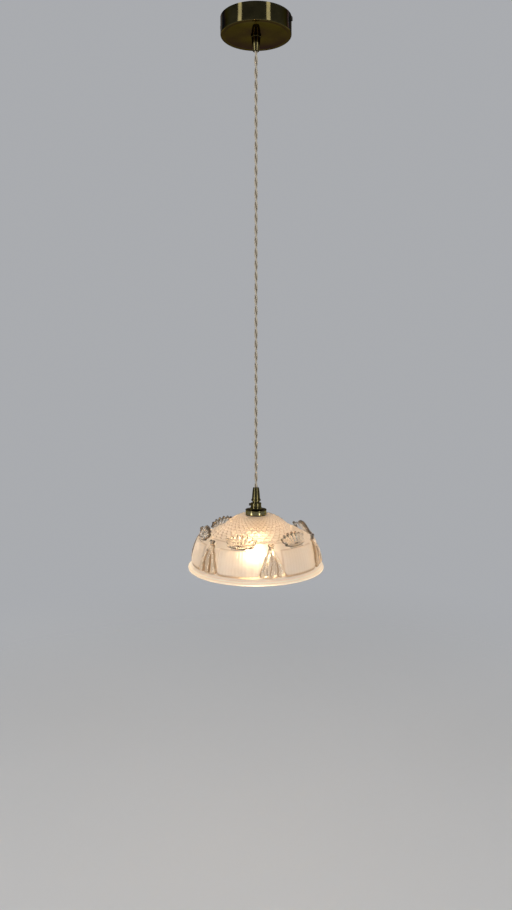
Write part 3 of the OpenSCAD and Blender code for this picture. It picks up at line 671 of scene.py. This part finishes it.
def frostedMaterial():
    # acid-frosted glass: blurred light through it, mixed with an even glow of its skin, with painted shade in
    # amber-brown along its creases and a painted glow near the rim
    material, tree, shader = newMaterial("frostedGlass")
    f = glassFinish
    cloud, grain = noise(tree, 28.0), noise(tree, 1800.0, 2.0)
    creaseShade, bare = attribute(tree, "creaseShade"), attribute(tree, "bare")

    def withCreaseShade(dark, light):
        return mixTone(tree, creaseShade, ramp(tree, cloud, [(0.3, dark), (0.7, light)]), (*f["creaseShadeTone"], 1))

    def polished(frosted, smooth):
        # less frost under the fans and tassels
        return addNode(tree, "ShaderNodeMix", {"Factor": bare, "A": frosted, "B": smooth}).outputs["Result"]

    fill(tree, shader, {
        "Base Color": withCreaseShade(f["frostDark"], f["frostLight"]),
        "Roughness": polished(spread(tree, grain, *f["frostRough"]), f["bareRough"]),
        "Transmission Weight": f["transmission"], "IOR": 1.48,
        "Emission Color": (*f["rimGlowColour"], 1), "Emission Strength": attribute(tree, "rimGlow"),
    })
    bump = addBump(tree, shader, grain, 0.12, 0.00008)
    skin = addNode(tree, "ShaderNodeBsdfTranslucent", {"Color": withCreaseShade(f["glowDark"], f["glowLight"]), "Normal": bump})
    share = polished(f["glowShare"], f["bareShare"])
    both = mixShader(tree, share, shader.outputs["BSDF"], skin.outputs["BSDF"])
    lampTransparent(tree, both, f["frostShadow"])
    return material


def polishedMaterial(name, rough, density=0.0):
    # clear glass; thick pieces take on a little amber where light runs far inside them
    material, tree, shader = newMaterial(name)
    f = glassFinish
    cloud = noise(tree, 90.0, 2.0)
    clear = ramp(tree, cloud, [(0.3, f["clearDark"]), (0.7, f["clearLight"])])
    # painted shade: steep flanks go brown, then near black
    paintedFlankShade = ramp(tree, attribute(tree, "steepShade"), [(0.0, (1, 1, 1)), (0.6, f["flankShadeTone"]), (1.0, f["deepShadeTone"])])
    fill(tree, shader, {
        "Base Color": mixTone(tree, 1.0, clear, paintedFlankShade, blend_type="MULTIPLY"),
        "Roughness": spread(tree, cloud, rough, rough + 0.03), "Transmission Weight": 1.0, "IOR": 1.52,
    })
    addBump(tree, shader, noise(tree, 160.0, 1.0), 0.12, 0.0003)
    lampTransparent(tree, shader.outputs["BSDF"], f["clearShadow"])
    if density:
        body = addNode(tree, "ShaderNodeVolumeAbsorption", {"Color": (*f["thick"], 1), "Density": density})
        fill(tree, tree.nodes["Material Output"], {"Volume": body.outputs["Volume"]})
    return material


frostedGlass = frostedMaterial()
clearGlass = polishedMaterial("clearGlass", 0.015, glassFinish["density"])
innerGlass = polishedMaterial("innerGlass", 0.1)

shadeGlass = {
    "steps": 480, "domeGap": 0.85, "rowGap": 1.6, "innerGap": 5.2, "holeR": 15.4, "seatR": 22, "thick": 4.5,
    "domeR": 82.0, "domeRise": 3.6, "coneR": 60.0, "coneSlope": 0.446, "domeBaseR": 86.0,
    "domeFrom": 16, "coneLean": 0.45, "wallR": 117.0, "wallCentre": 2.6, "wallTop": 55.5, "wallLow": 9.5,
    "wallDrop": 0.9,
    "panelHalf": 41.0, "panelLow": 10.0, "panelCorner": 10.0, "panelProud": 1.6, "reeds": 13, "reedProud": 0.55,
    # the painted shade line round a panel, brown, each pair at its sides and added at its foot: tone, place, width
    "shadeLineTone": (0.75, 0.25), "lineIn": (0.4, 1.1), "lineWide": (0.9, 1.6), "reedShade": 0.12,
    "scales": 36, "scaleStep": 0.09, "scaleProud": 3.1, "scaleReach": (0.72, 1.12), "scaleShadeWidth": 0.38,
    # the flange: how far out from the rim, and how high
    "flange": [(-7.0, 9.2), (-6.2, 7.1), (-4.4, 6.6), (-3.3, 4.1), (-2.0, 4.0), (-0.2, 2.3), (-0.05, 1.2),
               (-0.25, 0.4), (-0.7, 0.0)],
    "flangeShadeLines": [(6.9, 0.45), (3.7, 0.35)], "domeShadeLine": 0.75, "rimGlow": 0.27,
    # the ground under a tassel: level and half width
    "tasselGround": [(12, 17.5), (25, 18), (41, 10), (53, 4), (60, 1.5)], "fanHalf": 20, "fanFrom": (95, 54),
}
rimLevel = lowOf("shade") / mm
shadeHigh = topOf("shade") / mm - rimLevel
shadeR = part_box("shade")[1][0] / mm
domeCentre = shadeHigh + shadeGlass["domeRise"] - shadeGlass["domeR"]


def domeLevel(radius, depth):
    return domeCentre + math.sqrt((shadeGlass["domeR"] - depth) ** 2 - radius ** 2)


def glassSkin(depth):
    # half section of the glass at a depth under its outside, from the dome's middle to the wall's foot
    g = shadeGlass
    topR = g["coneR"] - g["coneLean"] * depth
    topZ = domeLevel(topR, depth)
    baseR = g["domeBaseR"] - g["coneLean"] * depth
    baseZ = topZ - g["coneSlope"] * (baseR - topR)
    wallZ = g["wallTop"] - g["wallDrop"] * depth
    line = [(x, domeLevel(x, depth)) for x in np.linspace(g["domeFrom"], topR, 24)]
    line += [(topR + (baseR - topR) * t, topZ + (baseZ - topZ) * t) for t in np.linspace(0.08, 1, 12)]
    for z in np.linspace(wallZ, g["wallLow"], 22):
        line.append((math.sqrt((g["wallR"] - depth) ** 2 - (z - g["wallCentre"]) ** 2), z))
    return line


def resample(line, gap):
    p = np.asarray(line, float)
    run = np.concatenate([[0], np.cumsum(np.hypot(*np.diff(p, axis=0).T))])
    at = np.linspace(0, run[-1], max(2, round(run[-1] / gap)) + 1)
    return np.stack([np.interp(at, run, p[:, 0]), np.interp(at, run, p[:, 1])], axis=1)


def soften(line):
    # pressed glass has no sharp edges
    line[1:-1] = 0.25 * line[:-2] + 0.5 * line[1:-1] + 0.25 * line[2:]
    return line


def smoothStep(x):
    x = np.clip(x, 0, 1)
    return x * x * (3 - 2 * x)


def panelHeight(across, z):
    # a panel with round lower corners, its reeds upright
    g = shadeGlass
    cornerZ = g["panelLow"] + g["panelCorner"]
    dx = np.maximum(np.abs(across) - (g["panelHalf"] - g["panelCorner"]), 0)
    dz = np.maximum(cornerZ - z, 0)
    below = g["panelCorner"] - np.hypot(dx, dz)
    above = g["panelHalf"] - np.abs(across)
    inside = np.minimum(np.where(z < cornerZ, below, above), g["wallTop"] - 0.5 - z)
    pitch = 2 * (g["panelHalf"] - 2.5) / g["reeds"]
    reed = 1 - np.abs(((across / pitch + 0.5) % 1.0) * 2 - 1) ** 2.0
    field = smoothStep((inside - 2.2) / 1.6)
    foot = smoothStep((cornerZ + 2 - z) / 8)
    tone, place, width = (g[key][0] + g[key][1] * foot for key in ("shadeLineTone", "lineIn", "lineWide"))
    # painted shade: brown between the reeds and along a line round the panel
    creaseShade = g["reedShade"] * (1 - reed) * field + tone * np.exp(-((inside - place) / width) ** 2)
    return g["panelProud"] * smoothStep(inside / 1.7) + g["reedProud"] * reed * field, creaseShade


def scaleHeight(radius, turn):
    # rows of rounded scales that shrink towards the middle, each row laid over the next
    g = shadeGlass
    row = np.log(g["domeBaseR"] / np.maximum(radius, 1)) / g["scaleStep"]
    column = turn / (2 * math.pi) * g["scales"]
    height = np.zeros_like(radius)
    creaseShade = np.zeros_like(radius)
    done = np.zeros(radius.shape, bool)
    for back in (1, 0):
        n = np.floor(row) - back
        local = column + 0.5 * (n % 2)
        u = (local - np.round(local)) * 2
        v = row - n
        reach = g["scaleReach"][0] + g["scaleReach"][1] * np.sqrt(np.clip(1 - (u * 0.98) ** 2, 0, 1))
        inside = (v < reach) & ~done
        lift = smoothStep(1 - (v / np.maximum(reach, 0.01)) ** 6) * (0.25 + 0.75 * v / 1.85)
        height = np.where(inside, lift, height)
        # painted shade along each scale's rounded edge
        creaseShade = np.where(inside, smoothStep(1 - (reach - v) / g["scaleShadeWidth"]), creaseShade)
        done |= inside
    edge = smoothStep((g["domeBaseR"] - 1.5 - radius) / 2.5) * smoothStep((radius - 25) / 6)
    return g["scaleProud"] * height * edge, creaseShade * edge


def shadeOutside():
    # the outside from the hole to the rim, with close rows on the dome for its scales
    g = shadeGlass
    flange = [(shadeR + out, z) for out, z in g["flange"]]
    seat = [(r, min(z, shadeHigh)) for r, z in glassSkin(0)]
    dome = [p for p in seat if p[0] < g["domeBaseR"]]
    rest = [dome[-1]] + [p for p in seat if p[0] >= g["domeBaseR"]] + flange
    dome = resample([(g["holeR"] + 0.3, shadeHigh)] + dome, g["domeGap"])
    return soften(np.vstack([dome[:-1], resample(rest, g["rowGap"])]))


def shadeInside():
    g = shadeGlass
    seatLow = domeLevel(g["seatR"], g["thick"])
    foot = [(g["wallR"] + 2.8, 0), (g["wallR"] - 4.4, 8.6)]
    line = [p for p in reversed(glassSkin(g["thick"])) if p[0] > g["seatR"] + 2]
    inside = soften(resample(foot + line + [(g["seatR"], seatLow), (g["holeR"] + 0.2, seatLow)], g["innerGap"]))
    return [tuple(p) for p in inside] + [(g["holeR"], seatLow + 0.3), (g["holeR"], shadeHigh - 0.4)]


def buildShadeGlass():
    g = shadeGlass
    line = shadeOutside()
    profile = [tuple(p) for p in line] + shadeInside() + [tuple(line[0])]
    shell = latheFrom("pressedShade", [(r, z + rimLevel) for r, z in profile], g["steps"], frostedGlass)
    co = readPoints(shell)
    radius, z = np.hypot(co[:, 0], co[:, 1]) / mm, co[:, 2] / mm - rimLevel
    turn = np.arctan2(co[:, 0], -co[:, 1])
    tangent = np.gradient(line, axis=0)
    tangent /= np.linalg.norm(tangent, axis=1)[:, None]
    normal = np.stack([-tangent[:, 1], tangent[:, 0]], axis=1)
    near = np.argmin((radius[:, None] - line[None, :, 0]) ** 2 + (z[:, None] - line[None, :, 1]) ** 2, axis=1)
    onOutside = np.hypot(radius - line[near, 0], z - line[near, 1]) < 0.02
    sixth = math.pi / 3
    across = g["wallR"] * ((turn + sixth / 2) % sixth - sixth / 2)
    # panels on the wall, scales on the dome
    onWall = smoothStep((z - 9.0) / 1.5) * (z < g["wallTop"] - 0.3) * (radius > g["domeBaseR"] + 12)
    onDome = (radius < g["domeBaseR"]) * (z > 60)
    panelLift, panelShade = panelHeight(across, z)
    scaleLift, scaleShade = scaleHeight(radius, turn)
    lift = np.where(onOutside, panelLift * onWall + scaleLift * onDome, 0)
    # painted shade: brown in the creases round panels, between reeds, along scale edges, at the flange steps and round
    # the dome's foot
    creaseShade = panelShade * onWall + scaleShade * onDome
    for level, tone in g["flangeShadeLines"]:
        creaseShade = creaseShade + tone * np.exp(-((z - level) / 0.5) ** 2)
    creaseShade = creaseShade + np.where(z > 56, g["domeShadeLine"] * np.exp(-(radius - g["domeBaseR"]) ** 2), 0)
    addLayer(shell, "creaseShade", np.where(onOutside, np.clip(creaseShade, 0, 1), 0))
    # painted glow: the glass near the rim gives off light of its own
    addLayer(shell, "rimGlow", g["rimGlow"] * smoothStep((9.5 - z) / 4))
    # no frost under the fans and tassels
    fromTassel = np.abs((turn + sixth) % sixth - sixth / 2) * g["wallR"]
    tasselHalf = np.interp(z, *zip(*g["tasselGround"]))
    underTassel = (z > 12) * (z < 60) * smoothStep((tasselHalf - fromTassel) / 2)
    fanR, fanZ = g["fanFrom"]
    underFan = (radius > fanR) * (z > fanZ) * smoothStep((g["fanHalf"] - np.abs(across)) / 3)
    addLayer(shell, "bare", np.where(onOutside, np.maximum(underTassel, underFan), 0))
    push = normal[near] * lift[:, None]
    co[:, :2] *= ((radius + push[:, 0]) / np.maximum(radius, 1e-6))[:, None]
    co[:, 2] += push[:, 1] * mm
    movePoints(shell, co)
    pickOnly(shell)
    bpy.ops.object.shade_smooth()
    # the inside is fire-polished
    shell.data.materials.append(innerGlass)
    cornerOf = np.array([p.vertices[0] for p in shell.data.polygons])
    shell.data.polygons.foreach_set("material_index", np.where(onOutside[cornerOf], 0, 1).astype(np.int32))
    settle(shell, "lamp", "pressed_glass", "shade")


buildShadeGlass()

print("stage: ornaments")
# a blob is its place and size (x across, y outward, z up from the rim) and a turn in its own plane
# stand: how far out an ornament is laid at each level; spots: where the glass curves most, painted darker as shade
tassel = {
    "voxel": 0.7, "deepShadeTone": (0.46, 0.22), "beads": 16, "footZ": 17.5, "topZ": 57.0,
    # each fold: x at the top, x at the foot, half width at the top, half width at the foot, sway
    "folds": [(-2.4, -15.5, 1.9, 7.0, -0.6), (0.2, 0.6, 1.4, 5.4, 1.8), (2.4, 15.6, 1.9, 7.2, 0.5)],
    "ground": [((0, -5.4, 21), (22.5, 2.2, 11.2)), ((0, -5.2, 36), (15.5, 2.2, 18)), ((0, -4.2, 53), (6.4, 2.4, 9))],
    "knot": [((-3.1, -0.6, 64.6), (3.2, 3.2, 2.6), 0.6), ((3.1, -0.6, 64.6), (3.2, 3.2, 2.6), -0.6),
             ((0, -0.8, 60.2), (4.6, 3.0, 2.0)), ((0, -0.2, 63.6), (1.7, 3.2, 2.2))],
    "hem": {"beads": 21, "half": 80, "wide": 22.6, "high": 10.8, "level": 20.8, "size": (2.0, 1.6, 1.5)},
    "stand": [(9, 119.6), (14, 119.8), (25, 118.6), (36, 116.6), (48, 112.8), (55, 109.0), (62, 106.2), (71, 104.8)],
    "spots": [(0, 63.0, 6.0, 4.5)],
}
fan = {
    "voxel": 0.62, "deepShadeTone": (0.3, 0.1), "baseZ": 60.4, "halfWide": 25.0, "rise": 16.4, "step": 9.6, "bead": 2.3,
    "ground": ((0, -3.9, 66.9), (22.0, 1.6, 10.5)), "petal": [(0.1, 2.6), (0.32, 3.4), (0.56, 4.2), (0.8, 4.5)],
    # the two rolls of the crescent: level, inset, outward, half thickness
    "rolls": [(-1.2, 3.0, -0.6, 2.0), (2.9, 4.5, -1.0, 1.6)], "rollBeads": 15, "rollHalf": 63, "rollRise": 4.2,
    "stand": [(50, 105.6), (56, 104.6), (60, 102.0), (64, 99.3), (70, 95.2), (76, 91.2), (84, 86.2)],
}
flankShadeLimits = {"front": 0.9, "blend": 0.36, "back": 0.3, "share": 0.6}
fanTips = [(fan["step"] * i * (1 - 0.014 * i * i), fan["rise"] - 0.8 * i * i) for i in range(-3, 4)]
fan["spots"] = [(x, fan["baseZ"] + z, 2.6, 3.2) for x, z in fanTips] + [(0, fan["baseZ"] + 1.5, 19.0, 5.0)]


def blob(place, size, turn=0.0):
    bpy.ops.mesh.primitive_uv_sphere_add(segments=28, ring_count=18, radius=1, location=(0, 0, 0))
    piece = bpy.context.object
    piece.scale = size
    piece.rotation_euler = (0, turn, 0)
    piece.location = place
    bpy.ops.object.transform_apply(location=True, rotation=True, scale=True)
    return piece


def pressTogether(name, parts, voxel):
    # overlapping blobs become one body with soft joints, as glass takes a mould
    deselectAll()
    for part in parts:
        part.select_set(True)
    bpy.context.view_layer.objects.active = parts[0]
    bpy.ops.object.join()
    body = bpy.context.object
    body.name = name
    remesh = body.modifiers.new("press", "REMESH")
    remesh.mode = "VOXEL"
    remesh.voxel_size = voxel
    ease = body.modifiers.new("ease", "SMOOTH")
    ease.factor = 0.5
    ease.iterations = 2
    for modifier in ("press", "ease"):
        bpy.ops.object.modifier_apply(modifier=modifier)
    return body


def flatTassel():
    # three drop-shaped folds hang from a bow-shaped knot over a thin ground with a rolled foot
    t, hem = tassel, tassel["hem"]
    parts = [blob(*b) for b in t["ground"]]
    for topX, footX, topHalf, footHalf, sway in t["folds"]:
        for i in range(t["beads"]):
            down = i / (t["beads"] - 1)
            x = topX + (footX - topX) * (1 - (1 - down) ** 1.6) + sway * math.sin(math.pi * down)
            z = t["topZ"] + (t["footZ"] - t["topZ"]) * down
            half = topHalf + (footHalf - topHalf) * down ** 1.3
            parts.append(blob((x, -2.0, z), (half, 1.6 + 0.42 * half, 3.2 + 0.4 * half)))
    parts += [blob(*b) for b in t["knot"]]
    for turn in np.radians(np.linspace(-hem["half"], hem["half"], hem["beads"])):
        place = (hem["wide"] * math.sin(turn), -3.0, hem["level"] - hem["high"] * math.cos(turn))
        parts.append(blob(place, hem["size"], -0.5 * turn))
    return pressTogether("flatTassel", parts, t["voxel"])


def flatFan():
    # seven fat petals with beaded tips on a double rolled crescent
    f = fan
    base = f["baseZ"]
    parts = [blob(*f["ground"])]
    for level, inset, outward, thick in f["rolls"]:
        for turn in np.radians(np.linspace(-f["rollHalf"], f["rollHalf"], f["rollBeads"])):
            x = (f["halfWide"] - inset) * math.sin(turn) * 1.1
            parts.append(blob((x, outward, base + level + f["rollRise"] * (1 - math.cos(turn))), (3.0, 2.8, thick)))
    # each petal swells from its foot to its tip
    for tipX, tipZ in fanTips:
        lean = math.atan2(0.4 * tipX, tipZ - 3)
        for t, half in f["petal"]:
            x, z = tipX * (0.6 + 0.4 * t), 3 + (tipZ - 3) * t
            parts.append(blob((x, -1.6, base + z), (half, 3.2, 3.6), lean))
        parts.append(blob((tipX, -1.2, base + tipZ + 0.4), (f["bead"], 3.2, f["bead"] + 0.9), lean))
    return pressTogether("flatFan", parts, f["voxel"])


def wrapOnShade(flat, name, azimuth, settings):
    # a flat ornament is copied, laid against the shade's bulge and turned to its place
    piece = flat.copy()
    piece.data = flat.data.copy()
    piece.name = name
    piece.data.name = name
    scene.collection.objects.link(piece)
    co = readPoints(piece)
    # painted shade: the deepest curves, the beads, knot and rolled foot, are painted darkest
    depth = np.zeros(len(co))
    for x, z, wide, high in settings["spots"]:
        depth = np.maximum(depth, smoothStep(1.5 - np.hypot((co[:, 0] - x) / wide, (co[:, 2] - z) / high)))
    levels, radii = zip(*settings["stand"])
    reach = np.interp(co[:, 2], levels, radii)
    slope = (np.interp(co[:, 2] + 0.5, levels, radii) - np.interp(co[:, 2] - 0.5, levels, radii))
    lean = 1 / np.sqrt(1 + slope ** 2)
    angle = co[:, 0] / reach + azimuth
    r = (reach + co[:, 1] * lean) * mm
    level = (co[:, 2] - co[:, 1] * slope * lean + rimLevel) * mm
    movePoints(piece, np.stack([r * np.sin(angle), -r * np.cos(angle), level], axis=1))
    piece.data.materials.clear()
    piece.data.materials.append(clearGlass)
    pickOnly(piece)
    bpy.ops.object.mode_set(mode="EDIT")
    bpy.ops.mesh.select_all(action="SELECT")
    bpy.ops.mesh.normals_make_consistent(inside=False)
    bpy.ops.object.mode_set(mode="OBJECT")
    bpy.ops.object.shade_smooth()
    # painted shade: light bends away where the glass is steep, so those flanks are painted brown; the back is left
    # clear
    normal = readPoints(piece, "normal")
    facing = (normal[:, 0] * np.sin(angle) - normal[:, 1] * np.cos(angle) - normal[:, 2] * slope) * lean
    tone = flankShadeLimits
    steepShade = smoothStep((tone["front"] - facing) / tone["blend"]) * smoothStep((facing + tone["back"]) / tone["back"])
    onSteep, onFlat = settings["deepShadeTone"]
    addLayer(piece, "steepShade", np.clip(steepShade * (tone["share"] + onSteep * depth) + onFlat * depth, 0, 1))
    settle(piece, "lamp", "pressed_glass")


ornaments = (flatFan(), "shadeFan", 0.0, fan), (flatTassel(), "shadeTassel", math.pi / 6, tassel)
for flat, name, first, settings in ornaments:
    for k in range(6):
        wrapOnShade(flat, f"{name}{k + 1}", first + k * math.pi / 3, settings)
    bpy.data.objects.remove(flat)

print("stage: other parts")
for tone, parts in (
        ("zincSteel", "ceiling_bracket"), ("blockPlastic", "terminal_block"), ("porcelainGlaze", "insulator"),
        ("plainBrass", "earth_screw terminal_sleeves canopy_washer canopy_locknut bayonet_barrel holder_terminals"),
        ("plainBrass", "plunger_front plunger_back"), ("fibreBlack", "upper_washer lower_washer"),
        ("brightSteel", "terminal_screws terminal_fixing_screw holder_terminal_screws"),
        ("brightSteel", "plunger_spring_front plunger_spring_back"),
        ("darkSteel", "canopy_screw_left canopy_screw_right canopy_grub_screw lamp_grub_screw cap_locking_screw"),
        ("bulbMetal", "bulb_cap"), ("vitriteBlack", "bulb_insulator"), ("dullSolder", "bulb_contacts")):
    for node in parts.split():
        for slot in nodes[node].material_slots:
            slot.material = plain[tone]

print("stage: studio")
studio = {
    "backdrop": (0.4, 0.41, 0.43), "overhead": (0.13, 0.135, 0.145),
    "floorColour": (0.6, 0.605, 0.61), "floorDrop": 0.6, "floorR": 2.4, "floorLift": 0.22,
    "fadeFrom": 0.6, "fadeTo": 1.9,
    "stripWatts": 24.0, "stripSize": (0.42, 2.45), "stripDistance": 2.0, "stripHeight": -0.2,
    "stripColour": (1.0, 0.965, 0.92),
    # each strip light: azimuth from the front, share of the watts
    "strips": {"leftStrip": (-35.6, 1.0), "rightStrip": (55.0, 0.85), "farLeftStrip": (-128.0, 0.2),
               "farRightStrip": (142.0, 0.2)},
}


def rayIs(tree, *kinds):
    path = addNode(tree, "ShaderNodeLightPath")
    seen = path.outputs[kinds[0]]
    for kind in kinds[1:]:
        seen = calc(tree, "MAXIMUM", seen, path.outputs[kind])
    return seen


def buildFloor():
    deselectAll()
    s = studio
    level = rimLevel * mm - s["floorDrop"]
    bpy.ops.mesh.primitive_circle_add(vertices=96, radius=s["floorR"], fill_type="NGON", location=(0, 0, level))
    floor = bpy.context.object
    floor.name = "studioFloor"
    material, tree, shader = newMaterial("studioFloor")
    tone = s["floorColour"]
    clouded = ramp(tree, noise(tree, 3.0, 2.0), [(0.2, tuple(c * 0.985 for c in tone)), (0.8, tone)])
    fill(tree, shader, {"Base Color": clouded, "Roughness": 0.9, "Specular IOR Level": 0.1})
    # seen directly, in metal or through glass it is as pale as the backdrop
    seen = rayIs(tree, "Is Camera Ray", "Is Glossy Ray", "Is Transmission Ray")
    lift = calc(tree, "MULTIPLY", seen, s["floorLift"])
    pale = addNode(tree, "ShaderNodeEmission", {"Color": (*tone, 1), "Strength": lift})
    both = addNode(tree, "ShaderNodeAddShader", {0: shader.outputs["BSDF"], 1: pale.outputs["Emission"]})
    # the floor thins out into the backdrop far from the lamp
    away = lengthOf(tree, addNode(tree, "ShaderNodeTexCoord").outputs["Object"])
    fade = spread(tree, away, 0.0, 1.0, s["fadeFrom"], s["fadeTo"], interpolation_type="SMOOTHSTEP")
    gone = addNode(tree, "ShaderNodeBsdfTransparent").outputs["BSDF"]
    surfaceOut(tree, mixShader(tree, fade, both.outputs["Shader"], gone))
    floor.data.materials.append(material)


def buildStrip(name, azimuth, share):
    light = bpy.data.lights.new(name, "AREA")
    light.shape = "RECTANGLE"
    light.size, light.size_y = studio["stripSize"]
    light.energy = studio["stripWatts"] * share
    light.color = studio["stripColour"]
    spot = aroundLamp(math.radians(azimuth), studio["stripDistance"], studio["stripHeight"])
    aimAt(bpy.data.objects.new(name, light), spot, (-spot.x, -spot.y, 0))


def buildBackdrop():
    # pale round the horizon, deeper overhead; seen directly or through glass it is pale all over
    world = bpy.data.worlds.new("studioBackdrop")
    world.use_nodes = True
    tree = world.node_tree
    tone = ramp(tree, heightOf(tree, "Generated"), [(0.15, studio["backdrop"]), (0.8, studio["overhead"])])
    seen = rayIs(tree, "Is Camera Ray", "Is Transmission Ray")
    fill(tree, tree.nodes["Background"], {"Color": mixTone(tree, seen, tone, (*studio["backdrop"], 1))})
    scene.world = world


buildFloor()
for name, (azimuth, share) in studio["strips"].items():
    buildStrip(name, azimuth, share)
buildBackdrop()
scene.view_settings.view_transform = "Standard"
